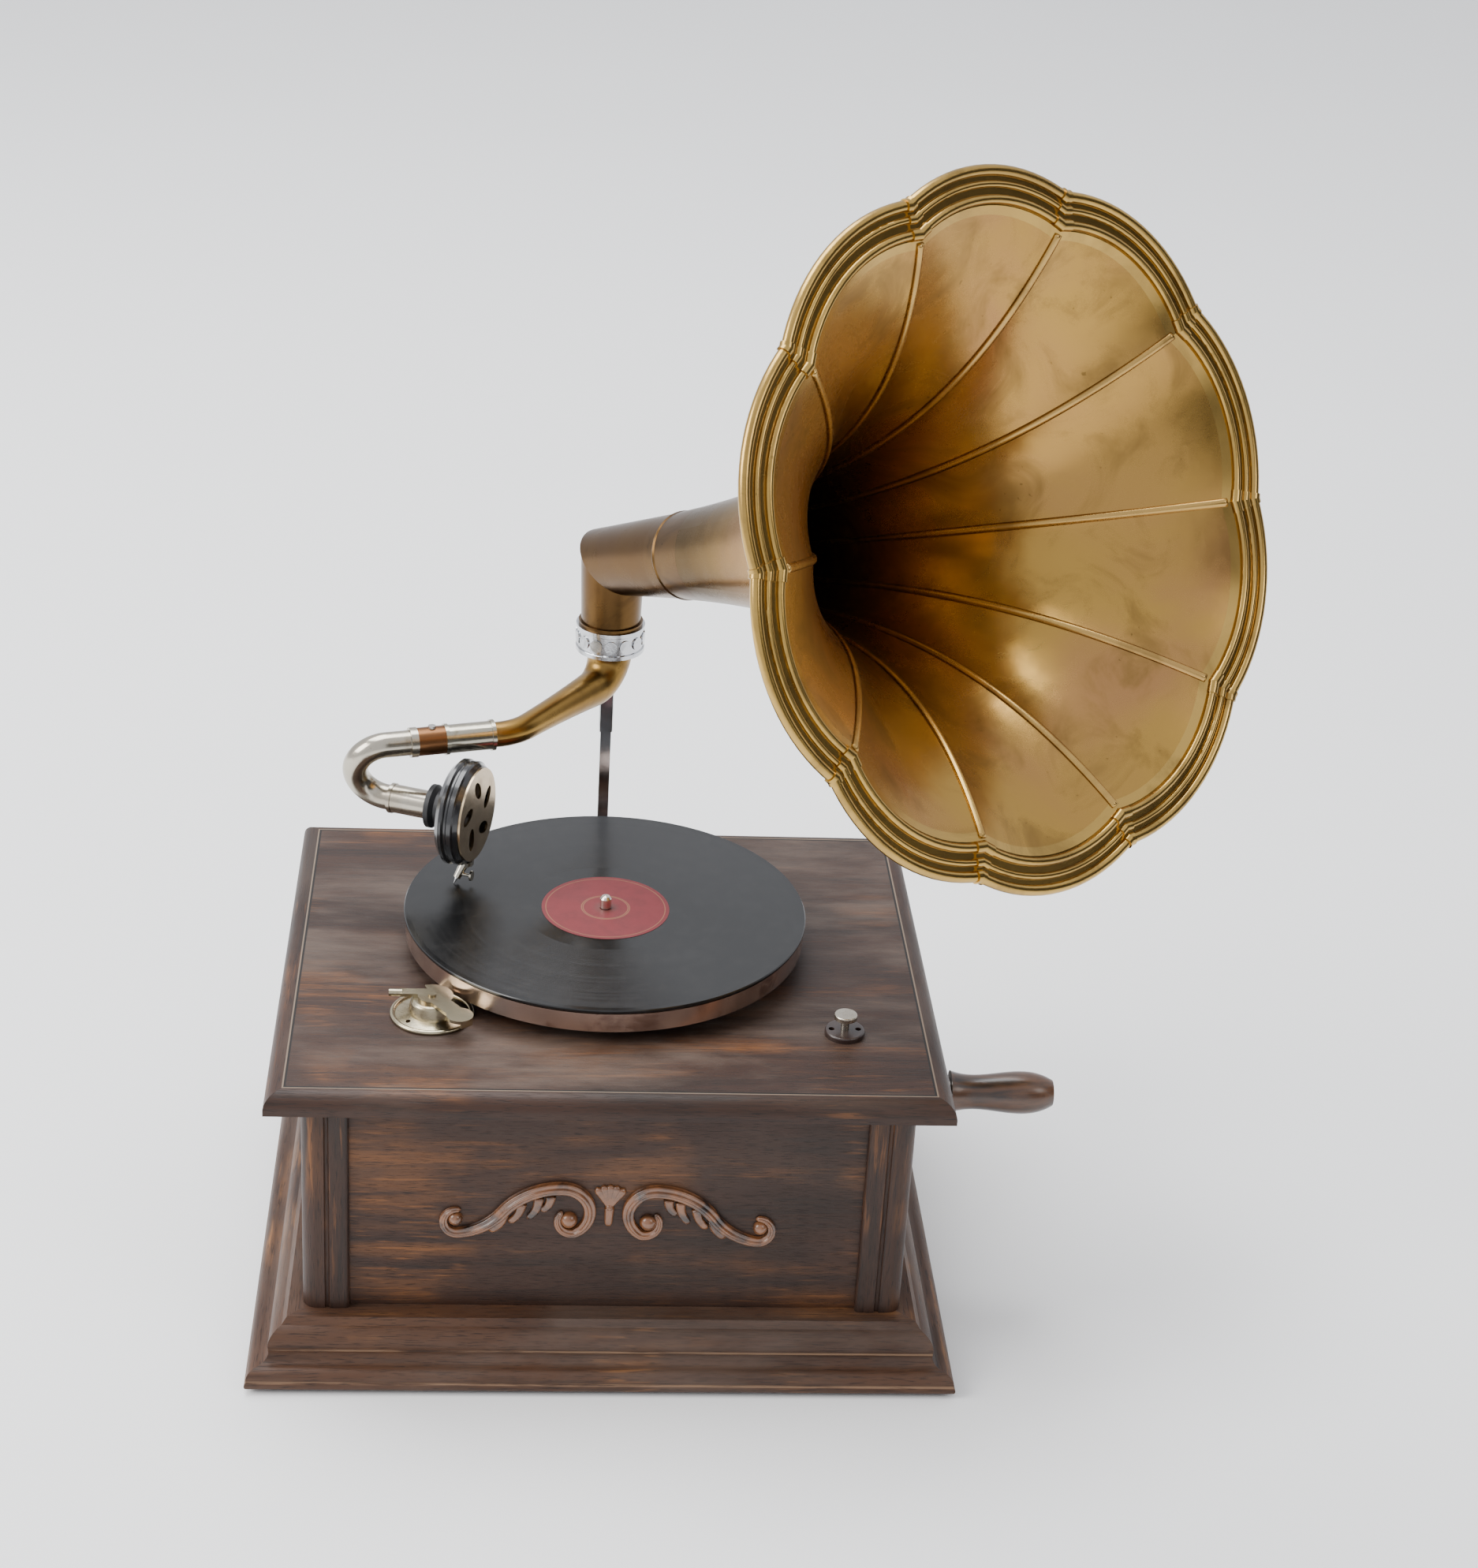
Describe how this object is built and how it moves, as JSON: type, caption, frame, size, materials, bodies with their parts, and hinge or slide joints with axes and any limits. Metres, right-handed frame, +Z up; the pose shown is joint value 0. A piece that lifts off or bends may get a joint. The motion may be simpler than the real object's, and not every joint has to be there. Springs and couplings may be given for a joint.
{
  "type": "gramophone",
  "caption": "Wind-up tabletop gramophone: carved wooden cabinet, turntable with a disc record, jointed tone arm with soundbox, and a scalloped brass horn on a bracket.",
  "frame": {"origin": "centre of the underside of the bottom board, on the surface the gramophone stands on", "axes": "+X to the right towards the winding crank, +Y to the back towards the horn bracket, +Z up"},
  "size_m": [0.5909, 0.4444, 0.717],
  "materials": {
    "oak": "stained, open grain",
    "carving": "stained and polished",
    "brass": "polished",
    "copper": "aged",
    "chrome": "polished",
    "nickel": "worn plating",
    "steel": "satin",
    "bracket_metal": "worn plating",
    "platter_metal": "dark polished",
    "felt": "matt",
    "shellac": "grooved, glossy",
    "paper": "printed paper",
    "rubber": "moulded",
    "black_enamel": "glossy enamel",
    "mica": "clear sheet",
    "handle_wood": "turned and varnished"
  },
  "bodies": {
    "cabinet": {"plinth_moulding": "oak", "bottom_board": "oak", "corner_posts": "oak", "front_panel": "oak", "back_panel": "oak", "left_panel": "oak", "right_panel": "oak", "top_board": "oak", "lid_moulding": "oak", "front_ornament": "carving", "horn_bracket": "bracket_metal", "bracket_screws": "steel", "crank_escutcheon": "nickel", "motor_plate": "steel", "motor_case": "steel", "motor_screws": "steel", "spring_barrel": "steel", "brake_base": "nickel", "speed_base": "nickel"},
    "horn": {"horn_elbow": "brass", "horn_throat": "brass", "horn_petal_01": "brass", "horn_petal_02": "brass", "horn_petal_03": "brass", "horn_petal_04": "brass", "horn_petal_05": "brass", "horn_petal_06": "brass", "horn_petal_07": "brass", "horn_petal_08": "brass", "horn_petal_09": "brass", "horn_petal_10": "brass", "horn_rim": "brass", "rim_clips": "brass", "horn_seams": "brass"},
    "tone_arm": {"tone_arm_tube": "brass", "arm_sleeve": "chrome", "swivel_collar": "copper", "collar_screw": "steel"},
    "soundbox": {"gooseneck_tube": "chrome", "gooseneck_sleeve": "chrome", "rubber_flange": "rubber", "soundbox_shell": "black_enamel", "diaphragm": "mica", "face_plate": "nickel", "stylus_bar": "nickel", "needle": "steel"},
    "needle_screw": {"needle_screw": "nickel"},
    "turntable": {"platter": "platter_metal", "platter_felt": "felt", "record": "shellac", "record_label": "paper", "spindle": "chrome"},
    "brake_lever": {"brake_lever": "nickel"},
    "speed_knob": {"speed_knob": "nickel"},
    "crank": {"winding_shaft": "steel", "ratchet_wheel": "steel", "crank_arm": "steel"},
    "crank_handle": {"crank_handle": "handle_wood"}
  },
  "joints": [
    {"name": "turntable_spin", "type": "hinge", "parent": "cabinet", "child": "turntable", "pos_m": [-0.002, 0.016, 0.2], "axis": [0, 0, 1], "continuous": true},
    {"name": "tone_arm_swing", "type": "hinge", "parent": "cabinet", "child": "tone_arm", "pos_m": [0, 0.172, 0.309], "axis": [0, 0, 1], "range_deg": [-35, 19]},
    {"name": "soundbox_flip", "type": "hinge", "parent": "tone_arm", "child": "soundbox", "pos_m": [-0.12175, 0.07122, 0.309], "axis": [-0.965, -0.2622, 0], "range_deg": [0, 120]},
    {"name": "horn_swivel", "type": "hinge", "parent": "cabinet", "child": "horn", "pos_m": [0, 0.172, 0.35], "axis": [0, 0, 1], "range_deg": [-60, 60]},
    {"name": "crank_turn", "type": "hinge", "parent": "cabinet", "child": "crank", "pos_m": [0.2, 0.01, 0.128], "axis": [1, 0, 0], "continuous": true},
    {"name": "handle_spin", "type": "hinge", "parent": "crank", "child": "crank_handle", "pos_m": [0.2125, -0.05894, 0.14016], "axis": [1, 0, 0], "continuous": true},
    {"name": "brake_swing", "type": "hinge", "parent": "cabinet", "child": "brake_lever", "pos_m": [-0.1065, -0.0755, 0.211], "axis": [0, 0, 1], "range_deg": [-15, 20]},
    {"name": "speed_knob_turn", "type": "hinge", "parent": "cabinet", "child": "speed_knob", "pos_m": [0.14, -0.091, 0.21], "axis": [0, 0, 1], "range_deg": [-150, 150]},
    {"name": "needle_screw_turn", "type": "hinge", "parent": "soundbox", "child": "needle_screw", "pos_m": [-0.09388, 0.04623, 0.22995], "axis": [0.9336, -0.3584, 0], "range_deg": [-180, 180]}
  ]
}
